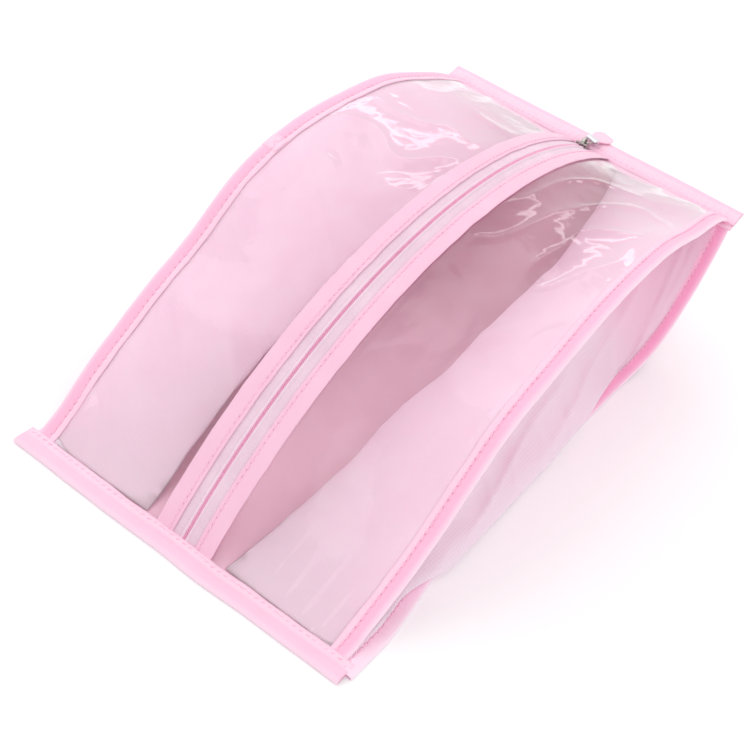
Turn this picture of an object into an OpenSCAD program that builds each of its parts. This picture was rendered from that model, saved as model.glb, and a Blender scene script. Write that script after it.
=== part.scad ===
// Zipped shoe bag: clear film top, V-folded side gussets, bound seams, one coil zip.
// Frame: +Z up, +Y from the front seam to the rear seam, X across.
// The origin is the middle of the flat face that the bag rests on.
// The top is drawn in the mouth frame: s runs from the front seam to the rear seam along the
// straight line between them, h is the height above that line.

/* [Mouth] */
// Straight distance between the inner edges of the two end bindings
mouth_l = 399; // [370:1:430]
// Slope of that line, rising to the rear
mouth_tilt = 12.4; // [11:0.1:14]
// Height of the zip's arch above it
zip_rise = 73; // [65:1:80]
// Height of the side edges' arch above it
side_rise = 74; // [65:0.5:80]

/* [Width] */
// Half of the width across the top edges at the end seams
top_half_w = 110; // [105:1:112]
// How much further the top edges stand out at mid length
top_bulge = 5; // [2:1:8]
// Half of the width across the base at the end seams
base_half_w = 113; // [110:1:114]
// How much further the base stands out at mid length
base_bulge = 1; // [0:0.5:8]
// Length of each end binding
end_seam_l = 230; // [228:1:240]

/* [Base] */
// Distance from the front edge to the origin
origin_y = 150; // [120:5:180]
// Radius of the curve that lifts the base to the rear seam
rear_curve_r = 105; // [98:1:115]

/* [Gussets] */
// Distance from the bag's middle to a gusset's fold at the end seams
fold_half_gap = 25; // [22:1:32]
// How much wider that is at mid length
fold_bulge = 20; // [10:1:25]

/* [Sheets] */
// Thickness of the clear film
film_t = 0.6; // [0.4:0.1:0.8]
// Thickness of the gusset cloth
gusset_t = 0.9; // [0.8:0.1:1]
// Thickness of the base panel
base_t = 0.8; // [0.5:0.1:1]
// Width of the folded binding over the end seams
end_binding_w = 13; // [12:1:15]
// Width of the folded binding along the sides
side_binding_w = 11; // [9:1:13]
// Thickness of a folded binding
binding_t = 2; // [1.6:0.1:2.2]

/* [Zip] */
// Distance from the zip's middle to the outer edge of a facing
facing_out = 19.3; // [18:0.1:22]
// Distance from the zip's middle to the inner edge of a facing
facing_in = 8; // [7:0.1:9]
// Thickness of a facing and of the tape
zip_cloth_t = 0.6; // [0.4:0.1:0.7]
// Half width of the closed coil
coil_half_w = 2.4; // [2:0.1:2.6]
// Half of the gap between the two coils, which the slider's post runs in
coil_half_gap = 0.55; // [0.5:0.05:0.6]
// Thickness of the coil
coil_t = 2.4; // [2:0.1:2.5]
// Arc length of each caught end of the zip
zip_end_l = 21; // [20:1:26]

/* [Slider] */
// Length of the slider
slider_l = 10; // [9:0.5:10]
// Half width of the slider
slider_half_w = 4.2; // [4:0.1:4.6]
// Arc length from the rear end of the zip to the slider's middle
slider_park = 6.4; // [6:0.1:8]
// Lift of the pull tab above the slider's plane as it lies back
pull_lift = 23; // [22:1:30]
// Turn of the pull towards +X as it lies back
pull_yaw = 20; // [0:1:22]
// Distance from the pull's pivot to its free end
pull_l = 23; // [21:0.5:24]
// Half of the pull tab's greatest width
pull_half_w = 7.3; // [6:0.1:7.5]

/* [Hidden] */

$fn = 48;
slack = 0.3;          // gap between parts that move past each other
seat = 0.2;           // gap between neighbours that are sewn together
front_z = 2;          // height of the mouth line's front end
stations = 30;        // sections along a lofted sheet, closer together near the seams
gusset_first = 3;     // the station where a gusset comes out of the front seam
gusset_last = 28;     // the station where it goes into the rear seam
edge_proud = 0.7;     // a top binding's height above the edge of its window
side_skew = 1.12;     // over 1, the side edges' arch peaks behind mid length
side_front = 1.2;     // over 1, they leave the front seam in a flat ramp
side_rear = 0.8;      // under 1, they come down to the rear seam with a full curve
panel_steps = 5;      // points across each half of a gusset
window_steps = 6;     // points across a window
curve_steps = 16;     // segments of the base's rear curve
front_y = end_binding_w - origin_y;
arc_half = mouth_l / 2;
arc_r = (arc_half ^ 2 + zip_rise ^ 2) / (2 * zip_rise);
arc_h = zip_rise - arc_r;
arc_end = asin(arc_half / arc_r);
split = arc_end - zip_end_l / arc_r * 180 / PI;
slider_at = arc_end - slider_park / arc_r * 180 / PI;
arc_tip = arc_end - 0.15;

// Mouth frame to floor frame, as [y, z]
function floor_at(s, h) = [
    front_y + s * cos(mouth_tilt) - h * sin(mouth_tilt),
    front_z + s * sin(mouth_tilt) + h * cos(mouth_tilt)];

// Base curve: flat from the front, then an arc up to the rear seam
base_end = floor_at(mouth_l - slack, -1.5);
curve_y = base_end[0] - sqrt(2 * rear_curve_r * base_end[1] - base_end[1] ^ 2);
curve_end = asin((base_end[0] - curve_y) / rear_curve_r);
curve_s = (curve_y - front_y) * cos(mouth_tilt) + (rear_curve_r - front_z) * sin(mouth_tilt);
curve_h = (rear_curve_r - front_z) * cos(mouth_tilt) - (curve_y - front_y) * sin(mouth_tilt);

// Heights in the mouth frame
function zip_h(s) = sqrt(arc_r ^ 2 - (s - arc_half) ^ 2) + arc_h;
function side_h(s) = side_rise
    * sin(180 * (s / mouth_l) ^ side_skew) ^ along(side_front, side_rear, s, mouth_l);
function ease(k) = k * k * (3 - 2 * k);
function top_h(s, k) = zip_h(s) + (side_h(s) - zip_h(s)) * ease(k);
function base_h(s, lift) =
    s < curve_s - (rear_curve_r - lift) * sin(mouth_tilt)
        ? (lift - front_z - s * sin(mouth_tilt)) / cos(mouth_tilt)
        : curve_h - sqrt((rear_curve_r - lift) ^ 2 - (s - curve_s) ^ 2);

// Half widths along the bag
function top_w(s) = top_half_w + top_bulge * sin(180 * s / mouth_l);
function base_w(y) = base_half_w + base_bulge * sin(180 * (y - front_y) / mouth_l);
function fold_w(s) = fold_half_gap + fold_bulge * sin(180 * s / mouth_l);
function along(from, to, i, n) = from + (to - from) * i / n;
function station(i) = min(max(mouth_l * (1 - cos(180 * i / stations)) / 2, slack), mouth_l - slack);
function edge_underside(s) = max(side_h(s) + edge_proud - binding_t, base_h(s, binding_t) + slack);

module in_mouth() {
    translate([0, front_y, front_z])
        rotate([mouth_tilt, 0, 0])
            children();
}

// 2-D shapes in the YZ plane, extruded along X and centred
module across(width) {
    rotate([90, 0, 90])
        linear_extrude(width, center = true)
            children();
}

// Closed skin through a row of sections with the same number of points. The first half of a
// section is one face of a sheet and the second half the other, and both split the same way.
module loft(sections) {
    n = len(sections[0]);
    m = len(sections);
    sides = [for (i = [0:m - 2], j = [0:n - 1])
        let (a = i * n + j, b = i * n + (j + 1) % n)
            each j < n / 2
                ? [[a, b, b + n], [a, b + n, a + n]]
                : [[a, b, a + n], [b, b + n, a + n]]];
    lids = [for (j = [0:n / 2 - 2]) [j, j + 1, n - 2 - j, n - 1 - j]];
    caps = [for (lid = lids)
        each [[for (k = [3:-1:0]) lid[k]], [for (k = lid) (m - 1) * n + k]]];
    polyhedron([for (section = sections) each section], concat(sides, caps));
}

// Band swept along the zip's arch, between two distances from the middle and two radii
module arch_band(x0, x1, r0, r1, from, to) {
    translate([0, arc_half, arc_h])
        rotate([90, 0, 90])
            rotate([0, 0, 90 - to])
                rotate_extrude(angle = to - from, $fn = 180)
                    translate([r0, x0])
                        square([r1 - r0, x1 - x0]);
}

// Local frame on the arch: Y along the zip to the rear, Z away from the bag
module on_arch(angle) {
    translate([0, arc_half, arc_h])
        rotate([-angle, 0, 0])
            translate([0, 0, arc_r])
                children();
}

// The left side is drawn, and the right side is its mirror image
module right_side() {
    mirror([1, 0, 0])
        children();
}

// Band of the base, lift0 to lift1 above its underside, kept where the plan covers it
module base_band(lift0, lift1) {
    intersection() {
        across(2 * end_seam_l)
            polygon(concat(base_line(lift0, 0, 1), base_line(lift1, curve_steps, -1)));
        linear_extrude(3 * rear_curve_r, center = true)
            children();
    }
}

function base_line(lift, first, step) =
    let (flat = [[front_y + seat, lift]],
        curve = [for (i = [first:step:curve_steps - first])
            let (a = curve_end * i / curve_steps, r = rear_curve_r - lift)
                [curve_y + r * sin(a), rear_curve_r - r * cos(a)]])
        step > 0 ? concat(flat, curve) : concat(curve, flat);

// Plan outline of the base, inset from its side edges
module base_plan(inset) {
    ys = [for (i = [0:stations]) along(front_y, base_end[0] + 4, i, stations)];
    polygon(concat(
        [for (y = ys) [base_w(y) - inset, y]],
        [for (i = [stations:-1:0]) [inset - base_w(ys[i]), ys[i]]]));
}

module base_panel() {
    color("#E9B5C8")
        base_band(0, base_t)
            base_plan(side_binding_w + seat);
}

module binding_base_left() {
    color("#FBB4D3")
        base_band(0, binding_t)
            intersection() {
                difference() {
                    base_plan(0);
                    base_plan(side_binding_w);
                }
                translate([-end_seam_l, front_y])
                    square([end_seam_l, 2 * mouth_l]);
            }
}

module binding_base_right() {
    right_side()
        binding_base_left();
}

// Cloth from the top binding inwards to the fold and back out to the base binding
function gusset_section(s) =
    let (out = top_w(s) - 0.5,
        low = base_w(floor_at(s, base_h(s, binding_t))[0]) - 0.5,
        top = edge_underside(s) - slack,
        base = base_h(s, binding_t + slack),
        mid = (top + base) / 2,
        fold = fold_w(s),
        inner = fold + gusset_t * (out - fold) / (top - mid))
        concat(
            bent_line([-out, s, top], [-fold, s, mid], [-low, s, base]),
            bent_line([-low, s, base + gusset_t], [-inner, s, mid], [-out, s, top - gusset_t]));

function bent_line(from, bend, to) = concat(
    [for (i = [0:panel_steps - 1]) along(from, bend, i, panel_steps)],
    [for (i = [0:panel_steps]) along(bend, to, i, panel_steps)]);

module gusset_left() {
    color("#E8D2E2")
        in_mouth()
            loft([for (i = [gusset_first:gusset_last]) gusset_section(station(i))]);
}

module gusset_right() {
    right_side()
        gusset_left();
}

// Folded tape in section: flat, with its fold rounded at y = 0
module fold_section(width, thick) {
    translate([thick / 2, 0])
        square([width - thick / 2, thick]);
    translate([thick / 2, thick / 2])
        circle(thick / 2);
}

module binding_front() {
    color("#FCCDE0")
        translate([0, -origin_y, 0])
            across(end_seam_l)
                fold_section(end_binding_w, binding_t + 0.4);
}

module binding_rear() {
    color("#FCCDE0")
        in_mouth()
            translate([0, mouth_l + end_binding_w, 1.2])
                rotate([180, 0, 0])
                    across(end_seam_l)
                        fold_section(end_binding_w, binding_t + 0.4);
}

function window_section(s) =
    let (x0 = facing_out + seat,
        x1 = top_w(s) - side_binding_w - seat,
        skin = [for (i = [0:window_steps])
            [-along(x0, x1, i, window_steps), s, top_h(s, i / window_steps)]])
        concat([for (i = [window_steps:-1:0]) skin[i]],
            [for (p = skin) p - [0, 0, film_t]]);

module window_left() {
    color("#E8F2F4", 0.35)
        in_mouth()
            loft([for (i = [0:stations]) window_section(station(i))]);
}

module window_right() {
    right_side()
        window_left();
}

function side_section(s) =
    let (out = top_w(s), high = side_h(s) + edge_proud, low = edge_underside(s))
        [[-out, s, high], [-out, s, low], [side_binding_w - out, s, low],
            [side_binding_w - out, s, high]];

module binding_top_left() {
    color("#FBC3DA")
        in_mouth()
            loft([for (i = [0:stations]) side_section(station(i))]);
}

module binding_top_right() {
    right_side()
        binding_top_left();
}

module facing_left() {
    under = arc_r + 0.05;
    color("#F6BAD4")
        in_mouth()
            arch_band(-facing_out, -facing_in, under, under + zip_cloth_t, -arc_tip, arc_tip);
}

module facing_right() {
    right_side()
        facing_left();
}

module tape_band(out, from, to) {
    arch_band(-out, -coil_half_w - 0.05, arc_r - zip_cloth_t, arc_r, from, to);
}

module coil_band(from, to) {
    mid = arc_r - zip_cloth_t / 2;
    arch_band(-coil_half_w, -coil_half_gap, mid - coil_t / 2, mid + coil_t / 2, from, to);
}

module zip_tape_left() {
    color("#E2CBDA")
        in_mouth()
            tape_band(facing_in + 4, -split, split);
}

module zip_tape_right() {
    right_side()
        zip_tape_left();
}

module zip_coil_left() {
    color("#E79CC2")
        in_mouth()
            coil_band(-split, split);
}

module zip_coil_right() {
    right_side()
        zip_coil_left();
}

// Both tapes and coils where the end seam holds them closed
module zip_end(from, to) {
    color("#E2B4CE")
        in_mouth() {
            zip_end_side(from, to);
            right_side()
                zip_end_side(from, to);
        }
}

module zip_end_side(from, to) {
    tape_band(facing_in - seat, from, to);
    coil_band(from, to);
}

module zip_end_front() {
    zip_end(-arc_tip, -split - 0.06);
}

module zip_end_rear() {
    zip_end(split + 0.06, arc_tip);
}

// Slider: two plates round the coils, joined by a thin post, and a bridge for the pull
plate_t = 1.2;
plate_gap = coil_t / 2 + 0.4;           // from the tape's middle to a plate
lip_w = 0.9;
post_half_w = coil_half_gap - slack;
bridge_r = 3.8;
bridge_t = 1;
bridge_w = 2;
pivot_n = 3.8;                          // the pull's pivot above the tape

module plate() {
    linear_extrude(plate_t)
        intersection() {
            square([2 * slider_half_w, slider_l], center = true);
            circle(slider_l / 2 + 0.3);
        }
}

module lips(height) {
    for (side = [-1, 1])
        translate([side * (slider_half_w - lip_w / 2) - lip_w / 2, -slider_l / 4, 0])
            cube([lip_w, slider_l / 2, height]);
}

module slider_body() {
    tape_mid = -zip_cloth_t / 2;
    lip_h = plate_gap - zip_cloth_t / 2 - slack - 0.05;
    color("#C9C6C4")
        in_mouth()
            on_arch(slider_at) {
                translate([0, 0, tape_mid + plate_gap])
                    plate();
                translate([0, 0, tape_mid + plate_gap - lip_h])
                    lips(lip_h);
                translate([0, 0, tape_mid - plate_gap - plate_t])
                    plate();
                translate([0, 0, tape_mid - plate_gap])
                    lips(lip_h);
                translate([-post_half_w, slider_l / 5, tape_mid - plate_gap])
                    cube([2 * post_half_w, slider_l / 4, 2 * plate_gap]);
                translate([0, 0, tape_mid + plate_gap + plate_t - 0.3])
                    bridge();
            }
}

module bridge() {
    across(bridge_w)
        intersection() {
            difference() {
                circle(bridge_r);
                circle(bridge_r - bridge_t);
            }
            translate([-bridge_r, 0])
                square([2 * bridge_r, bridge_r]);
        }
}

// Pull: its own Y runs from the pivot to the free end
wire_d = 1.2;
loop_half_w = 2.9;
loop_l = 7;
clasp_from = 5.9;
clasp_to = 10;
clasp_half_w = 4.8;
clasp_gap = 0.65;       // half of the slot that holds the tab
clasp_t = 0.5;
tab_t = 1.1;

module on_pull() {
    in_mouth()
        on_arch(slider_at)
            translate([0, 0, pivot_n])
                rotate([pull_lift, 0, 0])
                    rotate([0, 0, -pull_yaw])
                        children();
}

module pull_link() {
    color("#D5D2D0")
        on_pull() {
            for (y = [0, loop_l - 0.6])
                translate([0, y, 0])
                    rotate([0, 90, 0])
                        cylinder(h = 2 * loop_half_w, d = wire_d, center = true);
            for (x = [-loop_half_w, loop_half_w])
                translate([x, 0, 0])
                    rotate([-90, 0, 0])
                        cylinder(h = loop_l - 0.6, d = wire_d);
            for (x = [-loop_half_w, loop_half_w], y = [0, loop_l - 0.6])
                translate([x, y, 0])
                    sphere(d = wire_d);
            for (z = [clasp_gap, -clasp_gap - clasp_t])
                translate([-clasp_half_w, clasp_from, z])
                    cube([2 * clasp_half_w, clasp_to - clasp_from, clasp_t]);
            translate([-clasp_half_w, clasp_from, -clasp_gap])
                cube([2 * clasp_half_w, 0.7, 2 * clasp_gap]);
        }
}

module pull_tab() {
    neck = clasp_half_w - 0.2;
    flare = clasp_to + 5;
    color("#FBD3E2")
        on_pull()
            translate([0, 0, -tab_t / 2])
                linear_extrude(tab_t)
                    polygon([[-neck, loop_l + 0.4], [neck, loop_l + 0.4], [neck + 0.5, clasp_to + 1.5],
                        [pull_half_w, flare], [pull_half_w, pull_l - 3], [pull_half_w - 2.4, pull_l],
                        [2.4 - pull_half_w, pull_l], [-pull_half_w, pull_l - 3],
                        [-pull_half_w, flare], [-neck - 0.5, clasp_to + 1.5]]);
}

base_panel();
gusset_left();
gusset_right();
binding_front();
binding_rear();
binding_base_left();
binding_base_right();
zip_end_front();
zip_end_rear();
window_left();
window_right();
facing_left();
facing_right();
zip_tape_left();
zip_tape_right();
zip_coil_left();
zip_coil_right();
binding_top_left();
binding_top_right();
slider_body();
pull_link();
pull_tab();
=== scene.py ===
"""Looks of the shoe bag: film, cloth, folded tape, stitches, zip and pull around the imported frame.

Metres, in the frame of the CAD: +Z up, +Y from the front seam to the rear seam, X across.
The top is worked out in the mouth frame: s runs from the front seam to the rear seam along the
straight line between them, and h is the height above that line.
"""

import math

import bpy
import numpy as np
from mathutils import Matrix, Vector, noise


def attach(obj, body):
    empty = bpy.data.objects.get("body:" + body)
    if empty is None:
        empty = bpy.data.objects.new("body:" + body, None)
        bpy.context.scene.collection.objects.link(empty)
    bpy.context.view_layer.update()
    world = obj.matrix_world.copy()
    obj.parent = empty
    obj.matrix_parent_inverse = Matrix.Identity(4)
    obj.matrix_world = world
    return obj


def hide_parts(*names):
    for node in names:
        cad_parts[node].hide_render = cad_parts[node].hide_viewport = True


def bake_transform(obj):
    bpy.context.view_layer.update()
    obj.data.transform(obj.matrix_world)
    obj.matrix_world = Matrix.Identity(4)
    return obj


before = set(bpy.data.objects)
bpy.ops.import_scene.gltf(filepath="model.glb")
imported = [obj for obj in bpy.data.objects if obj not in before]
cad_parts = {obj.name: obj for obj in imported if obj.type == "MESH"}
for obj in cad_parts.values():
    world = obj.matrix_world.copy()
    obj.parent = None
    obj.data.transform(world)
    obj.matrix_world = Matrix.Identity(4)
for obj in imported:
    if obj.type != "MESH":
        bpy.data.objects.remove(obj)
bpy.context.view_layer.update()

MM = 0.001

# Driving sizes, the same as the CAD's
MOUTH = 399 * MM
TILT = math.radians(12.4)
FRONT_Y = -137 * MM
FRONT_Z = 2 * MM
ZIP_RISE = 73 * MM
SIDE_RISE = 74 * MM
SIDE_SKEW, SIDE_FRONT, SIDE_REAR = 1.12, 1.2, 0.8
REAR_CURVE = 105 * MM
SEAM_HALF = 115 * MM
TOP_HALF = 110 * MM  # half the top's width at its ends
TOP_SWELL = 5 * MM  # and how much wider each half is at mid length
BASE_HALF = 113 * MM
FOLD_HALF, FOLD_SWELL = 25 * MM, 20 * MM
END_TAPE = 13 * MM
SIDE_TAPE = 11 * MM
FACING_OUT = 19.3 * MM
SLIDER_FROM_END = 6.4 * MM
PIVOT_LIFT = 3.8 * MM
PULL_LIFT = math.radians(23)
PULL_YAW = math.radians(20)

# Worked out from them
HALF = MOUTH / 2
ARC_R = (HALF**2 + ZIP_RISE**2) / (2 * ZIP_RISE)
ARC_H = ZIP_RISE - ARC_R
ARC_END = math.asin(HALF / ARC_R)

# Sizes of the looks alone
BULGE_HALF = 115.5 * MM  # where the filled gussets stand furthest out, about mid length
THIN_CLOTH = 0.3 * MM
TUCK = 6 * MM  # how far sheets run into an end seam

MIRRORED = {"left": -1, "right": 1}


# ---- shape

def wave(s):
    """0 at both end seams and 1 at mid length."""
    return np.sin(np.pi * np.clip(s / MOUTH, 0, 1))


def zip_h(s):
    inside = np.clip(s, 0, MOUTH)
    return np.sqrt(ARC_R**2 - (inside - HALF) ** 2) + ARC_H


def side_h(s):
    inside = np.clip(s / MOUTH, 0, 1)
    arch = np.maximum(np.sin(np.pi * inside**SIDE_SKEW), 0)
    return SIDE_RISE * arch ** (SIDE_FRONT + (SIDE_REAR - SIDE_FRONT) * inside)


def top_w(s):
    return TOP_HALF + TOP_SWELL * wave(s)


def hump(at, place, width):
    """A smooth bump, 1 at its place. Its place and width are in millimetres."""
    return np.exp(-(((at / MM - place) / width) ** 2))


def bulge_w(y):
    """How far out the filled gussets stand, just above the base."""
    return BULGE_HALF + 2.5 * MM * hump(y, -30, 45) - 3 * MM * hump(y, 120, 70)


def base_edge(y, side):
    """Half the base's width, drawn in behind the front corners. The right one flares out."""
    corner = 5.5 * MM if side == "right" else -1.5 * MM
    flare = corner * (1 - ease((y + 114 * MM) / (52 * MM)))
    drawn_in = 3 * MM * ease((y + 80 * MM) / (40 * MM)) * ease((205 * MM - y) / (55 * MM))
    return BASE_HALF + flare - drawn_in


def fold_w(s):
    return FOLD_HALF + FOLD_SWELL * wave(s)


def floor_y(s, h):
    return FRONT_Y + s * math.cos(TILT) - h * math.sin(TILT)


def floor_z(s, h):
    return FRONT_Z + s * math.sin(TILT) + h * math.cos(TILT)


def ease(k):
    k = np.clip(k, 0, 1)
    return k * k * (3 - 2 * k)


def along(first, last, k):
    return first + (last - first) * k


# The base: flat, then an arc of REAR_CURVE up to the rear seam
BASE_END_Y = floor_y(MOUTH, -1.5 * MM)
BASE_END_Z = floor_z(MOUTH, -1.5 * MM)
CURVE_Y = BASE_END_Y - math.sqrt(2 * REAR_CURVE * BASE_END_Z - BASE_END_Z**2)
CURVE_END = math.asin((BASE_END_Y - CURVE_Y) / REAR_CURVE)
CURVE_S = (CURVE_Y - FRONT_Y) * math.cos(TILT) + (REAR_CURVE - FRONT_Z) * math.sin(TILT)
CURVE_H = (REAR_CURVE - FRONT_Z) * math.cos(TILT) - (CURVE_Y - FRONT_Y) * math.sin(TILT)


def base_h(s, lift):
    """Height in the mouth frame of the base, lift above its underside."""
    radius = REAR_CURVE - lift
    flat = (lift - FRONT_Z - s * math.sin(TILT)) / math.cos(TILT)
    curved = CURVE_H - np.sqrt(np.maximum(radius**2 - (s - CURVE_S) ** 2, 0))
    return np.where(s < CURVE_S - radius * math.sin(TILT), flat, curved)


class Track:
    """A line in the YZ plane, walked by its length. Its normal points out of the bag's top."""

    def __init__(self, y, z, s):
        steps = np.hypot(np.diff(y), np.diff(z))
        self.d = np.concatenate([[0], np.cumsum(steps)])
        self.length = self.d[-1]
        self.y, self.z, self.s = y, z, s
        ty, tz = np.gradient(y, self.d), np.gradient(z, self.d)
        size = np.hypot(ty, tz)
        self.ny, self.nz = -tz / size, ty / size

    def at(self, d):
        """s, y, z and the normal's y and z at the lengths d."""
        return [np.interp(d, self.d, a) for a in (self.s, self.y, self.z, self.ny, self.nz)]


def top_track(height):
    s = np.linspace(-TUCK, MOUTH + TUCK, 1600)
    h = height(s)
    soft = 0.8 * MM  # rounds the kink where the line leaves the seam
    h = h - soft * (1 - np.exp(-np.maximum(h, 0) / soft))
    return Track(floor_y(s, h), floor_z(s, h), s)


def base_track():
    flat = np.linspace(FRONT_Y - TUCK, CURVE_Y, 400)[:-1]
    turn = np.linspace(0, CURVE_END, 500)
    y = np.concatenate([flat, CURVE_Y + REAR_CURVE * np.sin(turn)])
    z = np.concatenate([np.zeros(len(flat)), REAR_CURVE * (1 - np.cos(turn))])
    tuck_y = BASE_END_Y + np.linspace(0, TUCK, 12)[1:] * math.cos(TILT)
    tuck_z = BASE_END_Z + np.linspace(0, TUCK, 12)[1:] * math.sin(TILT)
    y, z = np.concatenate([y, tuck_y]), np.concatenate([z, tuck_z])
    return Track(y, z, y - FRONT_Y)


def left_edge_h(s):
    """The left edge leaves the front in a straighter ramp and turns in a soft corner."""
    return side_h(s) + MM * (3.5 * hump(s, 45, 22) - 7.5 * hump(s, 132, 34) + 3 * hump(s, 315, 30))


def right_edge_h(s):
    """The right edge is fuller before mid length and lower towards the rear."""
    return side_h(s) + MM * (6 * hump(s, 128, 32) - 2.5 * hump(s, 60, 24) - 4.5 * hump(s, 340, 28))


ZIP = top_track(zip_h)
SIDE = {"left": top_track(left_edge_h), "right": top_track(right_edge_h)}
BASE = base_track()


def noise_at(*axes):
    """Smooth noise, from -1 to 1, at every point of the arrays given, which are broadcast."""
    grids = np.broadcast_arrays(*axes, *[0.0] * (3 - len(axes)))
    flat = [noise.noise(Vector(p)) for p in zip(*(g.ravel() for g in grids))]
    return np.array(flat).reshape(grids[0].shape)


def crease_at(*axes):
    """Ridged noise: 1 along thin wandering lines, falling to 0 away from them."""
    return np.clip(1 - 3 * np.abs(noise_at(*axes)), 0, 1) ** 2


# ---- meshes

def path_lengths(points):
    steps = np.linalg.norm(np.diff(points, axis=0), axis=1)
    return np.concatenate([[0], np.cumsum(steps)])


def mesh_piece(name, verts, faces, material, uv=None):
    """A smooth mesh object. uv gives each vertex its place on the flat cloth, in metres."""
    mesh = bpy.data.meshes.new(name)
    mesh.from_pydata([tuple(v) for v in verts], [], faces)
    mesh.materials.append(material)
    mesh.polygons.foreach_set("use_smooth", [True] * len(mesh.polygons))
    if uv is not None:
        layer = mesh.uv_layers.new(name="cloth")
        corner = np.zeros(len(mesh.loops), int)
        mesh.loops.foreach_get("vertex_index", corner)
        layer.data.foreach_set("uv", np.asarray(uv)[corner].astype(np.float32).ravel())
    mesh.update()
    piece = bpy.data.objects.new(name, mesh)
    bpy.context.collection.objects.link(piece)
    return piece


def skin(name, points, material, thick=0.0, flip=False):
    """A sheet through a grid of points, rows along the bag and columns across it.
    thick is the cloth's thickness, half on each side."""
    rows, columns = points.shape[:2]
    index = np.arange(rows * columns).reshape(rows, columns)
    corners = [index[:-1, :-1], index[:-1, 1:], index[1:, 1:], index[1:, :-1]]
    if flip:
        corners.reverse()
    faces = np.stack([c.ravel() for c in corners], axis=1).tolist()
    u = path_lengths(points[:, columns // 2])
    v = path_lengths(points[rows // 2])
    uv = np.stack(np.meshgrid(u, v, indexing="ij"), axis=-1).reshape(-1, 2)
    piece = mesh_piece(name, points.reshape(-1, 3), faces, material, uv)
    if thick:
        shell = piece.modifiers.new("thickness", "SOLIDIFY")
        shell.thickness = thick
        shell.offset = 0
    return piece


# One stitch or coil turn: rings of a rounded rod, as share of its half length and of its radius
ROD_RINGS = [(-0.96, 0.45), (-0.75, 0.85), (0, 1), (0.75, 0.85), (0.96, 0.45)]
ROD_SIDES = 6


def rod_template():
    turns = np.arange(ROD_SIDES) * 2 * math.pi / ROD_SIDES
    points = [(-1, 0, 0)]
    points += [(a, r * math.cos(t), r * math.sin(t)) for a, r in ROD_RINGS for t in turns]
    points.append((1, 0, 0))
    faces = [(0, 1 + (i + 1) % ROD_SIDES, 1 + i) for i in range(ROD_SIDES)]
    last, tip = 1 + (len(ROD_RINGS) - 1) * ROD_SIDES, len(points) - 1
    for low in range(1, last, ROD_SIDES):
        high = low + ROD_SIDES
        for i in range(ROD_SIDES):
            j = (i + 1) % ROD_SIDES
            faces.append((low + i, low + j, high + j, high + i))
    faces += [(last + i, last + (i + 1) % ROD_SIDES, tip) for i in range(ROD_SIDES)]
    return np.array(points), faces


def unit(vectors):
    return vectors / np.linalg.norm(vectors, axis=-1, keepdims=True)


def rods(name, centres, way, up, length, radius, material):
    """Many small rounded rods in one mesh, such as the turns of a coil."""
    template, faces = rod_template()
    way = unit(way)
    across = unit(np.cross(up, way))
    up = np.cross(way, across)
    length = np.broadcast_to(length, len(centres))
    radius = np.broadcast_to(radius, len(centres))[:, None, None]
    verts = (
        centres[:, None]
        + template[None, :, :1] * way[:, None] * length[:, None, None] / 2
        + template[None, :, 1:2] * across[:, None] * radius
        + template[None, :, 2:] * up[:, None] * radius
    )
    count = len(template)
    all_faces = [tuple(i + n * count for i in f) for n in range(len(centres)) for f in faces]
    return mesh_piece(name, verts.reshape(-1, 3), all_faces, material)


STITCH_PITCH = 4.2 * MM
STITCH_RADIUS = 0.5 * MM
STITCH_REACH = 0.36  # half a stitch's length, as share of the pitch
# Size of the dark rods that are painted shade in the needle holes
HOLE_SHADE_LENGTH, HOLE_SHADE_RADIUS = 0.9 * MM, 0.3 * MM


def row_of_stitches(name, place, length, slant=0.3):
    """Lockstitches along a line, and a small dark rod sunk between one stitch and the next,
    painted shade in the needle hole. place gives the point and its outward normal at a length."""
    starts = np.arange(STITCH_PITCH, length - STITCH_PITCH, STITCH_PITCH)
    front, _ = place(starts - STITCH_PITCH * STITCH_REACH)
    back, _ = place(starts + STITCH_PITCH * STITCH_REACH)
    _, up = place(starts)
    way = back - front
    size = np.linalg.norm(way, axis=1)
    way = unit(way) + slant * unit(np.cross(up, way))
    hole_shades, hole_shade_up = place(starts + STITCH_PITCH * 0.5)
    centres = np.concatenate([(front + back) / 2, hole_shades - 0.1 * MM * hole_shade_up])
    reach = np.concatenate([size, np.full(len(hole_shades), HOLE_SHADE_LENGTH)])
    radius = np.repeat([STITCH_RADIUS, HOLE_SHADE_RADIUS], len(starts))
    piece = rods(name, centres, np.tile(way, (2, 1)), np.concatenate([up, hole_shade_up]), reach,
                 radius, THREAD)
    piece.data.materials.append(NEEDLE_HOLE_SHADE)
    per_rod = len(piece.data.polygons) // len(centres)
    which = np.repeat((np.arange(len(centres)) >= len(starts)).astype(np.int32), per_rod)
    piece.data.polygons.foreach_set("material_index", which)
    return piece


# ---- materials

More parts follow.
